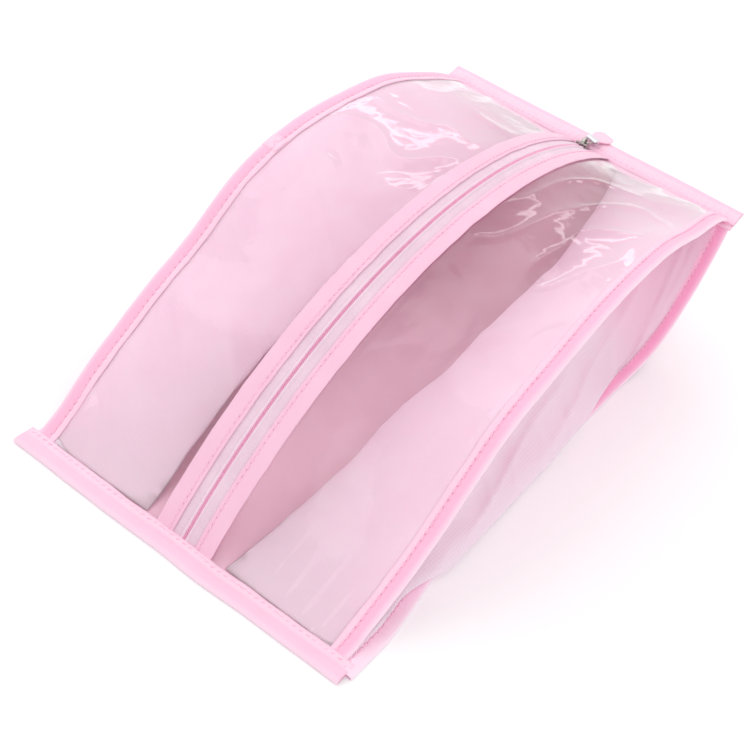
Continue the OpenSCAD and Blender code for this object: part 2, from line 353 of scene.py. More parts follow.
class Shader:
    """A node tree with one Principled shader, and short ways to add to it."""

    def __init__(self, name, colour, roughness):
        self.material = bpy.data.materials.new(name)
        self.material.use_nodes = True
        self.tree = self.material.node_tree
        self.main = self.tree.nodes["Principled BSDF"]
        self.set(Base_Color=(*colour, 1), Roughness=roughness)

    def set(self, **values):
        """Sets inputs of the Principled shader, written with _ for each space."""
        for key, value in values.items():
            self.main.inputs[key.replace("_", " ")].default_value = value

    def node(self, kind, **values):
        """A new node. Its inputs are written with _ for each space, and settings as they are."""
        made = self.tree.nodes.new("ShaderNode" + kind)
        for key, value in values.items():
            if key.replace("_", " ") in made.inputs:
                made.inputs[key.replace("_", " ")].default_value = value
            else:
                setattr(made, key, value)
        return made

    def link(self, source, target):
        self.tree.links.new(source, target)

    def math(self, operation, a, b):
        made = self.node("Math", operation=operation)
        for socket, value in zip(made.inputs, (a, b)):
            if isinstance(value, (int, float)):
                socket.default_value = value
            else:
                self.link(value, socket)
        return made.outputs[0]

    def place(self):
        return self.node("UVMap", uv_map="cloth").outputs[0]

    def solid_place(self):
        return self.node("TexCoord").outputs["Object"]

    def along_cloth(self, axis):
        """Distance in metres on the flat cloth, X along the bag and Y across it."""
        made = self.node("SeparateXYZ")
        self.link(self.place(), made.inputs[0])
        return made.outputs[axis]

    def ramp(self, value, start, end, low=0.0, high=1.0):
        """A smooth step from low to high as value goes from start to end."""
        made = self.node("MapRange", interpolation_type="SMOOTHSTEP", From_Min=start,
                         From_Max=end, To_Min=low, To_Max=high)
        self.link(value, made.inputs["Value"])
        return made.outputs[0]

    def stripes(self, value, stops):
        """A colour that changes with value. The stops are in order, from 0 to 1."""
        made = self.node("ValToRGB")
        elements = made.color_ramp.elements
        for at, _ in stops[1:-1]:
            elements.new(at)
        for element, (at, colour) in zip(elements, stops):
            element.position = at
            element.color = (*colour, 1)
        self.link(value, made.inputs[0])
        return made.outputs[0]

    def mix(self, amount, first, second, blend="MIX"):
        """A colour between two, by amount, which is a socket."""
        made = self.node("Mix", data_type="RGBA", blend_type=blend)
        self.link(amount, made.inputs[0])
        for socket, value in ((made.inputs[6], first), (made.inputs[7], second)):
            if isinstance(value, tuple):
                socket.default_value = (*value, 1)
            else:
                self.link(value, socket)
        return made.outputs[2]

    def noise(self, place, scale, detail=3.0):
        made = self.node("TexNoise", Scale=scale, Detail=detail)
        self.link(place, made.inputs["Vector"])
        return made.outputs["Fac"]

    def weave(self, place, pitch):
        """Threads that cross, one every pitch metres each way."""
        bands = []
        for direction in "XY":
            made = self.node("TexWave", bands_direction=direction, Scale=math.pi / 10 / pitch)
            self.link(place, made.inputs["Vector"])
            bands.append(made.outputs["Fac"])
        return self.math("MULTIPLY", *bands)

    def bump(self, height, distance):
        made = self.node("Bump", Strength=1.0, Distance=distance)
        self.link(height, made.inputs["Height"])
        self.link(made.outputs[0], self.main.inputs["Normal"])

    def colour(self, socket):
        self.link(socket, self.main.inputs["Base Color"])


def linear(red, green, blue):
    """A colour given as it looks on screen, from 0 to 255."""
    return tuple(
        c / 12.92 if c <= 0.04045 else ((c + 0.055) / 1.055) ** 2.4
        for c in (red / 255, green / 255, blue / 255)
    )


def woven(name, light, dark, pitch, depth, roughness):
    """Plain-woven cloth: crossing threads, soft blotches and slightly darker hollows."""
    cloth = Shader(name, light, roughness)
    place = cloth.place()
    weave = cloth.weave(place, pitch)
    shade = cloth.math("ADD", cloth.math("MULTIPLY", weave, 0.35),
                       cloth.math("MULTIPLY", cloth.noise(place, 45, 4), 0.75))
    cloth.colour(cloth.mix(shade, dark, light))
    cloth.bump(weave, depth)
    cloth.set(Sheen_Weight=0.25, Sheen_Roughness=0.5)
    return cloth.material


def gusset_material():
    """Thin ripstop: a one-over-one weave with a light grid of thicker threads every 2 mm. Its upper
    panel has the lit colour, and its lower panel a greyer mauve that is painted shade for a panel
    facing down and out, turning pinker towards its lower edge and the rear seam."""
    cloth = Shader("ripstop cloth", linear(250, 212, 229), 0.6)
    place = cloth.place()
    lower = cloth.ramp(cloth.along_cloth("Y"), 0.082, 0.09)
    grid = cloth.node("TexBrick", offset=0.0, Scale=100.0, Brick_Width=0.21, Row_Height=0.21,
                      Mortar_Size=0.02, Mortar_Smooth=0.5, Bias=0.0)
    cloth.link(place, grid.inputs["Vector"])
    blotch = cloth.noise(place, 24, 4)
    # Painted shade: shaded_lower is a greyer copy of the cloth for the lower panel, which faces down
    # and out; lit_upper is the lit colour
    lit_upper = cloth.mix(blotch, linear(250, 197, 219), linear(254, 213, 231))
    shaded_lower = cloth.mix(blotch, linear(243, 217, 235), linear(253, 233, 246))
    edge = cloth.ramp(cloth.along_cloth("Y"), 0.12, 0.165, 0.0, 0.65)
    shaded_lower = cloth.mix(edge, shaded_lower, linear(252, 206, 230))
    rear = cloth.ramp(cloth.along_cloth("X"), 0.29, 0.34)
    shaded_lower = cloth.mix(rear, shaded_lower, linear(255, 204, 226))
    ground = cloth.mix(lower, lit_upper, shaded_lower)
    strength = cloth.math("MULTIPLY", cloth.math("SUBTRACT", lower, rear), 0.55)
    shows = cloth.math("MULTIPLY", grid.outputs["Fac"], cloth.math("MAXIMUM", strength, 0.08))
    cloth.colour(cloth.mix(shows, ground, linear(252, 238, 246)))
    weave = cloth.weave(place, 0.35 * MM)
    height = cloth.math("ADD", cloth.math("MULTIPLY", weave, 0.3), grid.outputs["Fac"])
    cloth.bump(height, 0.04 * MM)
    cloth.set(Sheen_Weight=0.04, Subsurface_Weight=0.5, Subsurface_Radius=(1.0, 0.7, 0.85),
              Subsurface_Scale=1.5 * MM)
    return cloth.material


def tape_material(name, painted_highlight, middle, full, total, lit_front=0.0):
    """Folded tape, total wide when flat, with painted light and shade across it: a painted
    highlight at its fold, painted shade (full) between the fold and the stitches, its own colour
    on the lighter ridge beside them, and a thin painted shadow (full) at its free edge. Its front
    can be painted lighter, up to lit_front along it, against the shade there."""
    cloth = Shader(name, middle, 0.48)
    place = cloth.place()
    share = cloth.math("DIVIDE", cloth.along_cloth("Y"), total)
    # middle is the tape's own colour, painted_highlight a painted highlight and full painted shade
    colour = cloth.stripes(share, [(0.0, middle), (0.42, middle), (0.48, painted_highlight), (0.53, middle),
                                   (0.62, full), (0.76, full), (0.82, middle), (0.94, middle),
                                   (0.975, full), (1.0, full)])
    # Painted light: paler towards the front, where the cloth above shades the tape
    if lit_front:
        front = cloth.ramp(cloth.along_cloth("X"), lit_front, lit_front + 0.06, 0.8, 0.0)
        colour = cloth.mix(front, colour, painted_highlight)
    weave = cloth.weave(place, 0.45 * MM)
    shade = cloth.math("ADD", cloth.math("MULTIPLY", weave, 0.3),
                       cloth.math("MULTIPLY", cloth.noise(place, 60, 4), 0.6))
    cloth.colour(cloth.mix(shade, colour, (0.94, 0.86, 0.9), "MULTIPLY"))
    cloth.bump(weave, 0.05 * MM)
    cloth.set(Sheen_Weight=0.2, Sheen_Roughness=0.5)
    return cloth.material


def film_material():
    """Clear soft film: almost nothing to see face on, white reflections, a faint haze, and more
    reflection towards the rear seam, a painted reflection for the grazing view there."""
    film = Shader("clear film", (0.95, 0.94, 0.94), 0.1)
    film.set(Metallic=0.7)
    clear = film.node("BsdfTransparent", Color=(0.99, 0.985, 0.99, 1))
    facing = film.node("LayerWeight", Blend=0.5)
    gloss = film.math("MULTIPLY", film.math("POWER", facing.outputs["Facing"], 4.0), 0.85)
    haze = film.math("MULTIPLY", film.noise(film.place(), 70, 3), 0.1)
    # Painted reflection: more of the film reflects towards the rear seam, where it is seen at a
    # grazing angle
    rear = film.ramp(film.along_cloth("X"), 0.36, 0.432, 0.03, 0.4)
    amount = film.math("ADD", film.math("ADD", gloss, haze), rear)
    both = film.node("MixShader")
    film.link(amount, both.inputs[0])
    film.link(clear.outputs[0], both.inputs[1])
    film.link(film.main.outputs[0], both.inputs[2])
    film.link(both.outputs[0], film.tree.nodes["Material Output"].inputs["Surface"])
    film.bump(film.noise(film.place(), 160, 2), 0.1 * MM)
    return film.material


def mottled(name, colour, roughness, dark, light, scale, detail=2):
    """A material that drifts between two colours with a noise, which is given as well."""
    made = Shader(name, linear(*colour), roughness)
    tone = made.noise(made.solid_place(), scale, detail)
    made.colour(made.mix(tone, linear(*dark), linear(*light)))
    return made, tone


def thread_material():
    thread, _ = mottled("sewing thread", (246, 186, 214), 0.5, (238, 164, 198),
                        (253, 210, 228), 2500)
    thread.set(Sheen_Weight=0.3)
    return thread.material


def metal_material(name, colour, roughness, dark, light, scale, detail, metallic):
    """A metal with a fine grain. Also gives its shader and grain."""
    metal, grain = mottled(name, colour, roughness, dark, light, scale, detail)
    metal.set(Metallic=metallic)
    metal.bump(grain, 0.02 * MM)
    return metal, grain


def nickel_material():
    metal, grain = metal_material("nickel plate", (176, 172, 168), 0.24, (140, 134, 128),
                                  (214, 210, 204), 900, 4, 1.0)
    spread = metal.node("MapRange", To_Min=0.16, To_Max=0.38)
    metal.link(grain, spread.inputs["Value"])
    metal.link(spread.outputs[0], metal.main.inputs["Roughness"])
    return metal.material


def pull_material():
    satin, _ = mottled("satin pull", (251, 200, 220), 0.36, (248, 192, 214), (253, 208, 226),
                       260, 3)
    satin.bump(satin.noise(satin.solid_place(), 3000, 2), 0.02 * MM)
    satin.set(Coat_Weight=0.15)
    return satin.material


FILM = film_material()
RIPSTOP = gusset_material()
THREAD = thread_material()
FINE_THREAD = mottled("fine light thread", (250, 222, 236), 0.5, (240, 202, 222),
                      (254, 238, 246), 3000)[0].material
# Painted shade in the needle holes between stitches
NEEDLE_HOLE_SHADE = mottled("needle hole shade", (224, 140, 178), 0.8, (206, 112, 156), (238, 166, 198),
                      1500)[0].material
NYLON = mottled("coil nylon", (240, 166, 202), 0.32, (230, 146, 188), (247, 186, 214),
                400)[0].material
NICKEL = nickel_material()
CLASP = metal_material("silvered clasp", (226, 224, 232), 0.3, (206, 204, 214),
                       (240, 238, 244), 700, 3, 0.85)[0].material
PULL = pull_material()
# Each tape: painted highlight, own colour, painted shade
BINDING = tape_material("binding tape", linear(253, 222, 237), linear(252, 208, 228),
                        linear(251, 188, 216), 24.5 * MM)
END_BINDING = tape_material("end binding tape", linear(252, 219, 235), linear(252, 212, 230),
                            linear(251, 202, 224), 31 * MM)
BASE_BINDING = tape_material("base binding tape", linear(254, 228, 242), linear(252, 202, 226),
                             linear(252, 180, 214), 24 * MM, lit_front=0.12)
BASE_CLOTH = woven("coated base cloth", linear(248, 200, 218), linear(238, 182, 204),
                   0.4 * MM, 0.03 * MM, 0.45)
FACING = woven("facing cloth", linear(247, 202, 222), linear(236, 180, 206), 0.4 * MM,
               0.04 * MM, 0.5)
TAPE = woven("zip tape", linear(251, 226, 237), linear(224, 192, 210), 0.7 * MM, 0.1 * MM, 0.68)


# ---- putting pieces in place


def on_flap(piece):
    """Bakes the piece's place into its mesh."""
    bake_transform(piece)


def on_line(track, d, x, lift):
    """Points at the lengths d along a track, x across and lift above it."""
    _, y, z, ny, nz = track.at(d)
    return np.stack(np.broadcast_arrays(x, y + lift * ny, z + lift * nz), axis=-1)


def on_side(d, side, inward, lift):
    """Points at the lengths d along a window's outer edge, inward of the binding's fold."""
    x = MIRRORED[side] * (top_w(SIDE[side].at(d)[0]) - inward)
    return on_line(SIDE[side], d, x, lift)


def base_half(d, side):
    """Half the base's width at the lengths d along it."""
    return base_edge(BASE.at(d)[0] + FRONT_Y, side)


def up_at(track, d):
    _, _, _, ny, nz = track.at(d)
    return np.stack([np.zeros_like(ny), ny, nz], axis=-1)


# Folded tape in section, as share of its width and of its half thickness, from the free edge
# of the lower layer round the fold to the free edge of the upper one
TAPE_SECTION = np.array([
    (1.00, -0.90), (0.85, -0.96), (0.65, -0.94), (0.45, -1.0), (0.25, -0.98), (0.12, -0.9),
    (0.04, -0.66), (0.0, -0.3), (0.0, 0.25), (0.035, 0.66), (0.11, 0.94), (0.22, 1.1),
    (0.34, 1.12), (0.46, 1.0), (0.55, 0.8), (0.61, 0.6), (0.655, 0.52), (0.7, 0.6), (0.77, 0.86),
    (0.86, 0.96), (0.93, 0.84), (0.98, 0.5), (1.0, 0.2),
])
STITCH_SHARE = 0.655  # where the stitches are, across the tape
END_STITCH_SHARE = 0.8
TAPE_CLOTH = 0.45 * MM
TOP_TAPE_HALF_THICK = 1.0 * MM
PUCKER = 0.2 * MM
PUCKER_PITCH = 5 * MM


def tape_grid(d, width, half_thick, place, seed, under=1.0):
    """Points of a folded tape. place(d, inward, lift) puts them on their line.
    under is the lower layer's width as share of the upper one's."""
    share, height = TAPE_SECTION[:, 0], TAPE_SECTION[:, 1]
    share = np.where(height < 0, share * under, share)
    rows = d[:, None]
    edge = noise_at(rows * 60, share[None] * 2, seed) * 0.45 * MM
    pulled = np.cos(2 * np.pi * rows / PUCKER_PITCH) * PUCKER * np.clip(height, 0, 1)
    soft = noise_at(rows * 110, share[None] * 3, seed + 9) * 0.12 * MM
    inward = share * width + edge * (0.35 + share)
    lift = height * half_thick + pulled * np.exp(-((share - STITCH_SHARE) / 0.2) ** 2) + soft
    return place(rows, inward, lift)


def window(side):
    """Clear film from under the facing to inside the top binding, creased towards the rear."""
    rows, columns = 260, 84
    s = np.linspace(-TUCK, MOUTH + TUCK, rows)[:, None]
    k = np.linspace(0, 1, columns)[None]
    x = along(12 * MM, top_w(s) - 4 * MM, k)
    zip_line = np.interp(s, ZIP.s, mouth_height(ZIP)) - 0.5 * MM
    side_line = np.interp(s, SIDE[side].s, mouth_height(SIDE[side])) - 0.1 * MM
    h = along(zip_line, side_line, ease(film_share(s, x))) + film_relief(s, x, side)
    grid = np.stack([MIRRORED[side] * x, floor_y(s, h), floor_z(s, h)], axis=-1)
    piece = skin("film_" + side, grid, FILM, flip=side == "left")
    on_flap(piece)
    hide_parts("window_" + side)


def film_share(s, x):
    """0 where the film leaves the facing and 1 where it meets the binding."""
    return (x - FACING_OUT) / (top_w(s) - SIDE_TAPE - FACING_OUT)


def mouth_height(track):
    return (track.z - FRONT_Z) * math.cos(TILT) - (track.y - FRONT_Y) * math.sin(TILT)


def film_relief(s, x, side):
    """Soft sag, broad waves and sharper creases of the film, none where it is sewn."""
    seed = 3 * MIRRORED[side]
    free = ease((x - FACING_OUT) / (9 * MM)) * ease((top_w(s) - SIDE_TAPE - x) / (9 * MM))
    free = free * ease(s / (14 * MM)) * ease((MOUTH - s) / (14 * MM))
    rear = ease((s / MOUTH - 0.3) / 0.35)
    share = film_share(s, x)
    sag = -2.5 * MM * wave(s) * np.clip(4 * share * (1 - share), 0, 1) / np.maximum(free, 0.3)
    broad = noise_at(s * 16 + x * 6, x * 22, seed) * (0.5 * MM + 1.4 * MM * rear)
    crease = crease_at(s * 20 - x * 17, x * 22 + s * 6, seed + 5) * (0.2 * MM + 1.6 * MM * rear)
    fine = crease_at(s * 80 + x * 52, x * 64 - s * 20, seed + 8) * 0.2 * MM * rear
    seam = crease_at(s * 10, x * 80, seed + 2) * 1.3 * MM * (1 - ease(s / (45 * MM)))
    return free * (sag + broad + crease + fine + seam)


def top_binding(side):
    """Folded tape along a window's outer edge, with its stitches."""
    length = SIDE[side].length
    d = np.linspace(0, length, 700)
    centre = -0.3 * MM

    def place(rows, inward, lift):
        return on_side(rows, side, inward, lift + centre)

    grid = tape_grid(d, SIDE_TAPE, TOP_TAPE_HALF_THICK, place, MIRRORED[side] * 4)
    grid[..., 2] = np.maximum(grid[..., 2], 0.3 * MM)  # its ends stay above the floor
    piece = skin("top_binding_" + side, grid, BINDING, TAPE_CLOTH, flip=side == "right")
    on_flap(piece)
    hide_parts("binding_top_" + side)

    def seam(at):
        return on_side(at, side, STITCH_SHARE * SIDE_TAPE, 0.62 * MM), up_at(SIDE[side], at)

    stitches = row_of_stitches("stitches_top_" + side, seam, length)
    on_flap(stitches)


def tape_joint():
    """Where the left top binding's two lengths overlap and are cross-stitched together."""
    middle = np.interp(206 * MM, SIDE["left"].s, SIDE["left"].d)
    half = 6 * MM
    d = np.linspace(middle - half, middle + half, 26)[:, None]
    share = np.linspace(0.04, 0.97, 22)[None]
    upper = TAPE_SECTION[9:]
    lift = np.interp(share, upper[:, 0], upper[:, 1]) * TOP_TAPE_HALF_THICK
    edge = ease((half - np.abs(d - middle)) / (1.2 * MM))
    grid = on_side(d, "left", share * SIDE_TAPE, lift - 0.1 * MM + 0.42 * MM * edge)
    patch = skin("tape_joint", grid, BINDING, THIN_CLOTH)
    on_flap(patch)
    # Four lines of four stitches each: along and inward at a line's start and at its end
    lines = np.array([(-4.5, 2.5, 4.5, 8.5), (-4.5, 8.5, 4.5, 2.5), (-4.8, 2.2, -4.8, 8.8),
                      (4.8, 2.2, 4.8, 8.8)]) * MM
    d0, in0, d1, in1 = np.repeat(lines, 4, axis=0).T
    k = np.tile((0.12, 0.37, 0.62, 0.87), 4)
    at, inward = middle + along(d0, d1, k), along(in0, in1, k)
    centres = on_side(at, "left", inward, 1.35 * MM - 0.25 * MM * (inward > 5 * MM))
    ways = on_side(at + d1 - d0, "left", inward + in1 - in0, 1.2 * MM)
    ways = ways - on_side(at, "left", inward, 1.2 * MM)
    cross = rods("joint_stitches", centres, ways, up_at(SIDE["left"], at),
                 0.2 * np.hypot(d1 - d0, in1 - in0), 0.36 * MM, THREAD)
    on_flap(cross)


def gusset(side):
    """Thin cloth folded inwards, puffed out over the base seam at mid length."""
    s = np.linspace(2 * MM, MOUTH - 2 * MM, 190)
    height = np.interp(s, SIDE[side].s, mouth_height(SIDE[side]))
    out = top_w(s)
    base = np.minimum(base_h(s, 1.6 * MM), height - 1.2 * MM)
    low = base_edge(floor_y(s, base), side)
    mid = (height + base) / 2
    fold = fold_w(s)
    puff = ease((s - 38 * MM) / (50 * MM)) * ease((300 * MM - s) / (70 * MM))
    bulge = bulge_w(floor_y(s, base))
    shoulder = along(base + 0.3 * (mid - base), base + 23 * MM, puff)
    corners = [
        (out - 8 * MM, height - 0.6 * MM),
        (out - 11.5 * MM, height - 0.9 * MM),
        (fold, mid),
        (along(low - 30 * MM, bulge - 26 * MM, puff), shoulder),
        (along(low - 9 * MM, bulge - 5 * MM, puff), base + 0.9 * MM + 11.5 * MM * puff),
        (along(low - 8 * MM, bulge, puff), base + 0.7 * MM + 6 * MM * puff),
        (along(low - 8 * MM, bulge - 2.5 * MM, puff), base + 0.6 * MM + 1.6 * MM * puff),
        (low - 9 * MM, base + 0.4 * MM),
    ]
    x, h = section_grid(corners, [2, 26, 18, 14, 5, 5, 6])
    grid_s = np.broadcast_to(s[:, None], x.shape)
    v = np.linspace(0, 1, x.shape[1])[None]
    free = ease(v / 0.08) * ease((1 - v) / 0.14) * ease(s / (20 * MM))[:, None]
    free = free * ease((MOUTH - s) / (20 * MM))[:, None]
    seed = 7 * MIRRORED[side]
    fold_line = np.exp(-(((v - 0.42) / 0.05) ** 2))
    waves = noise_at(grid_s * 20 + v * 0.8, v * 3.0, seed) * 3.2 * MM
    small = noise_at(grid_s * 52, v * 7, seed + 3) * 1.0 * MM
    lines = crease_at(grid_s * 30 + v * 1.6, v * 2.6, seed + 6) * 1.1 * MM
    lower = ease((v - 0.5) / 0.12) * ease((0.9 - v) / 0.15)
    folds = crease_at(grid_s * 11 + v * 7, v * 1.6, seed + 15) * 1.9 * MM * lower
    shift = free * (waves + small + lines + folds) * (1 - 0.5 * fold_line)
    shift = np.minimum(shift, 0.35 * (height - base)[:, None])
    h = h + shift
    x = x + free * noise_at(grid_s * 26, v * 4, seed + 11) * 1.6 * MM
    x = np.maximum(x, 0.75 * fold[:, None])
    z = np.maximum(floor_z(grid_s, h), 0.5 * MM)
    grid = np.stack([MIRRORED[side] * x, floor_y(grid_s, h), z], axis=-1)
    piece = skin("gusset_cloth_" + side, grid, RIPSTOP, THIN_CLOTH, flip=side == "left")
    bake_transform(piece)
    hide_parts("gusset_" + side)


def section_grid(corners, steps):
    """Rows of points along the straight lines between corners, then rounded."""
    x, h = [], []
    for (x0, h0), (x1, h1), count in zip(corners[:-1], corners[1:], steps):
        for i in range(count):
            x.append(along(x0, x1, i / count))
            h.append(along(h0, h1, i / count))
    x.append(corners[-1][0])
    h.append(corners[-1][1])
    x, h = np.stack(x, axis=1), np.stack(h, axis=1)
    for _ in range(3):
        for a in (x, h):
            a[:, 1:-1] = (a[:, :-2] + 2 * a[:, 1:-1] + a[:, 2:]) / 4
    return x, h


def base_cloth():
    """The flat base and its curve up to the rear seam."""
    d = np.linspace(0, BASE.length, 240)[:, None]
    left, right = (base_half(d, side) - 3 * MM for side in MIRRORED)
    x = along(-left, right, np.linspace(0, 1, 90)[None])
    lift = 0.75 * MM + 0.35 * MM * noise_at(d * 30, x * 30, 2.0)
    piece = skin("base_cloth", on_line(BASE, d, x, lift), BASE_CLOTH, 0.4 * MM, flip=True)
    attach(piece, "root")
    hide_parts("base_panel")


def base_binding(side):
    """Folded tape along the base's side edge."""
    d = np.linspace(0, BASE.length, 620)

    def place(rows, inward, lift):
        x = MIRRORED[side] * (base_half(rows, side) - inward)
        return on_line(BASE, rows, x, lift + 1.3 * MM)

    grid = tape_grid(d, SIDE_TAPE, 0.95 * MM, place, MIRRORED[side] * 6)
    piece = skin("base_binding_tape_" + side, grid, BASE_BINDING, TAPE_CLOTH, flip=side == "right")
    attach(piece, "root")
    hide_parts("binding_base_" + side)

    def seam(at):
        x = MIRRORED[side] * (base_half(at, side) - STITCH_SHARE * SIDE_TAPE)
        return on_line(BASE, at, x, 2.15 * MM), up_at(BASE, at)

    stitches = row_of_stitches("stitches_base_" + side, seam, BASE.length)
    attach(stitches, "root")


def seam_frame(rear):
    """Origin at the fold's middle, direction inwards and normal of an end seam."""
    if rear:
        inwards = Vector((0, -math.cos(TILT), -math.sin(TILT)))
        outer = Vector((0, floor_y(MOUTH + END_TAPE, 0), floor_z(MOUTH + END_TAPE, 0)))
        return outer, inwards, Vector((0, -math.sin(TILT), math.cos(TILT)))
    return Vector((0, FRONT_Y - END_TAPE, 1.45 * MM)), Vector((0, 1, 0)), Vector((0, 0, 1))


def stuffing(x):
    """How far the layers inside lift the upper half of an end binding."""
    at_side = np.exp(-(((np.abs(x) - 104 * MM) / (6 * MM)) ** 2))
    at_zip = ease((24 * MM - np.abs(x)) / (8 * MM))
    return 0.9 * MM * at_side + 0.8 * MM * at_zip


def end_binding(name, node, rear, seed):
    """Folded tape over an end seam, a little bent, raised where zip and side bindings enter."""
    origin, inwards, normal = (np.array(v) for v in seam_frame(rear))
    width = END_TAPE + 1.6 * MM

    def bend(x):
        kink = 0 if rear else np.exp(-(((x - 24 * MM) / (20 * MM)) ** 2)) * 1.3 * MM
        return noise_at(x * 14, seed) * 1.1 * MM - kink

    def place(rows, inward, lift):
        x = rows - SEAM_HALF
        up = stuffing(x) * ease(lift / (0.8 * MM)) * ease(inward / (5 * MM))
        point = origin + (inward + bend(x) * (1 - 0.4 * inward / width))[..., None] * inwards
        point = point + (lift + up)[..., None] * normal
        point[..., 0] = x
        return point

    d = np.linspace(0, 2 * SEAM_HALF, 460)
    grid = tape_grid(d, width, 1.15 * MM, place, seed + 1, under=1.28 if rear else 1.0)
    piece = skin(name, grid, END_BINDING, TAPE_CLOTH, flip=not rear)
    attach(piece, "root")
    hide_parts(node)

    def seam(at):
        inward, lift = END_STITCH_SHARE * width, 1.0 * MM
        points = place(at, np.full_like(at, inward), np.full_like(at, lift))
        return points, np.broadcast_to(normal, points.shape)

    stitches = row_of_stitches("stitches_" + name, seam, 2 * SEAM_HALF)
    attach(stitches, "root")


# Facing in section, in millimetres across and above the tape: from under the fold to the film
FACING_SECTION = np.array([
    (13.0, 0.25), (10.4, 0.2), (8.7, 0.22), (8.1, 0.4), (7.95, 0.68), (8.2, 0.95), (8.9, 1.1),
    (9.8, 1.0), (10.5, 0.92), (11.6, 1.06), (13.2, 1.12), (15.2, 1.08), (17.2, 0.98),
    (18.7, 0.82), (19.3, 0.55),
])


def facing(side):
    """Cloth strip that joins the film to the zip tape, turned under along the zip."""
    d = np.linspace(0, ZIP.length, 560)[:, None]
    across, lift = FACING_SECTION.T[:, None]
    seed = MIRRORED[side] * 5
    wander = noise_at(d * 70, seed) * 0.4 * MM
    ripple = noise_at(d * 120, across / 4, seed + 3) * 0.14 * MM
    pulled = np.cos(2 * np.pi * d / PUCKER_PITCH) * 0.08 * MM * np.exp(-((across - 10) / 2) ** 2)
    x = MIRRORED[side] * (across * MM + wander)
    piece = skin("facing_cloth_" + side, on_line(ZIP, d, x, lift * MM + ripple + pulled),
                 FACING, THIN_CLOTH, flip=side == "left")
    on_flap(piece)
    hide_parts("facing_" + side)

    def seam(at):
        return on_line(ZIP, at, MIRRORED[side] * 10.3 * MM, 1.12 * MM), up_at(ZIP, at)

    stitches = row_of_stitches("stitches_facing_" + side, seam, ZIP.length,
                               slant=0.18 * MIRRORED[side])
    on_flap(stitches)


RIB_PITCH = 1.1 * MM
COIL_PITCH = 1.25 * MM
TAPE_ACROSS = [0.85, 0.95, 1.25, 1.7, 2.15, 2.6, 3.2, 4.2, 5.6, 7.0, 8.2, 9.4, 13.0]
ZIP_END = 5.5 * MM  # length of the zip's ends that never leave the seam


def ribbed_tape(side, start, end):
    """Woven tape with a fine rib across it at each pitch and a ridge over half of the coil."""
    d = np.arange(start, end, RIB_PITCH / 5)[:, None]
    x = np.array(TAPE_ACROSS)[None] * MM
    rib = 0.2 * MM * np.cos(2 * np.pi * d / RIB_PITCH) * ease((x - 2.6 * MM) / (0.8 * MM))
    ridge = 1.1 * MM * np.exp(-(((x - 1.75 * MM) / (0.8 * MM)) ** 4))
    return on_line(ZIP, d, MIRRORED[side] * x, -0.25 * MM + rib + ridge)


def coil_turns(side, start, end):
    """Centres, directions and normals of a coil's turns, the left ones half a pitch on."""
    first = start + (0.5 * COIL_PITCH if side == "left" else 0)
    d = np.arange(first, end, COIL_PITCH)
    sign = MIRRORED[side]
    inner = on_line(ZIP, d + 0.12 * COIL_PITCH, sign * -0.15 * MM, 0.3 * MM)
    outer = on_line(ZIP, d - 0.12 * COIL_PITCH, sign * 1.5 * MM, 0.3 * MM)
    return (inner + outer) / 2, outer - inner, up_at(ZIP, d)


def coil_thread(side, start, end):
    """The row of fine stitches that holds a coil to its tape."""
    d = np.arange(start, end, COIL_PITCH)
    x = MIRRORED[side] * 1.75 * MM
    back, front = (on_line(ZIP, d + k * COIL_PITCH, x, 1.0 * MM) for k in (-0.4, 0.4))
    return (back + front) / 2, front - back, up_at(ZIP, d)


def tape_and_coil(ending, side, start, end, overlap=0.0):
    """The woven tape and the coil on one side of the zip, from start to end."""
    grid = ribbed_tape(side, start, end + overlap)
    tape = skin("tape_" + ending, grid, TAPE, 0.35 * MM, flip=side == "left")
    coil = rods("coil_" + ending, *coil_turns(side, start, end), 1.7 * MM, 0.5 * MM, NYLON)
    return tape, coil


def zip_half(side):
    """Tape, coil and the coil's stitches on one side of the opening."""
    start, end = TUCK + ZIP_END, ZIP.length - TUCK - ZIP_END
    tape, coil = tape_and_coil(side, side, start, end)
    on_flap(tape)
    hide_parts("zip_tape_" + side)
    on_flap(coil)
    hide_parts("zip_coil_" + side)
    thread = rods("coil_stitches_" + side, *coil_thread(side, start, end), 0.95 * MM, 0.24 * MM,
                  FINE_THREAD)
    on_flap(thread)


def zip_ends():
    """Both tapes and coils where an end seam holds them together."""
    spans = {"front": (0, TUCK + ZIP_END), "rear": (ZIP.length - TUCK - ZIP_END, ZIP.length)}
    for name, (start, end) in spans.items():
        for side in MIRRORED:
            tape, coil = tape_and_coil(f"end_{name}_{side}", side, start, end, 0.1 * MM)
            for piece, slot in ((tape, "zip_tape"), (coil, "zip_coil")):
                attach(piece, "root")
                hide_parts("zip_end_" + name)


# ---- slider and pull

def local_frame():
    """The slider's place on the zip: X across, Y along the zip to the rear, Z away from the bag."""
    angle = ARC_END - SLIDER_FROM_END / ARC_R
    s, h = HALF + ARC_R * math.sin(angle), ARC_H + ARC_R * math.cos(angle)
    return Matrix.Translation((0, floor_y(s, h), floor_z(s, h))) @ Matrix.Rotation(
        TILT - angle, 4, "X"
    )


def pull_frame():
    return (
        local_frame()
        @ Matrix.Translation((0, 0, PIVOT_LIFT))
        @ Matrix.Rotation(PULL_LIFT, 4, "X")
        @ Matrix.Rotation(-PULL_YAW, 4, "Z")
    )


def finish_solid(piece, placed, bevel):
    """Rounds a piece's edges and puts it in its place."""
    piece.data.transform(placed)
    round_off = piece.modifiers.new("rounded edges", "BEVEL")
    round_off.width = bevel
    round_off.segments = 3
    round_off.limit_method = "ANGLE"
    round_off.angle_limit = math.radians(35)
    flat = piece.modifiers.new("flat faces", "WEIGHTED_NORMAL")
    flat.keep_sharp = True


def prism(name, outline, z0, z1, material):
    """A plate with the given outline."""
    count = len(outline)
    verts = [(x, y, z0) for x, y in outline] + [(x, y, z1) for x, y in outline]
    faces = [tuple(range(count))[::-1], tuple(range(count, 2 * count))]
    faces += [(i, (i + 1) % count, (i + 1) % count + count, i + count) for i in range(count)]
    return mesh_piece(name, verts, faces, material)


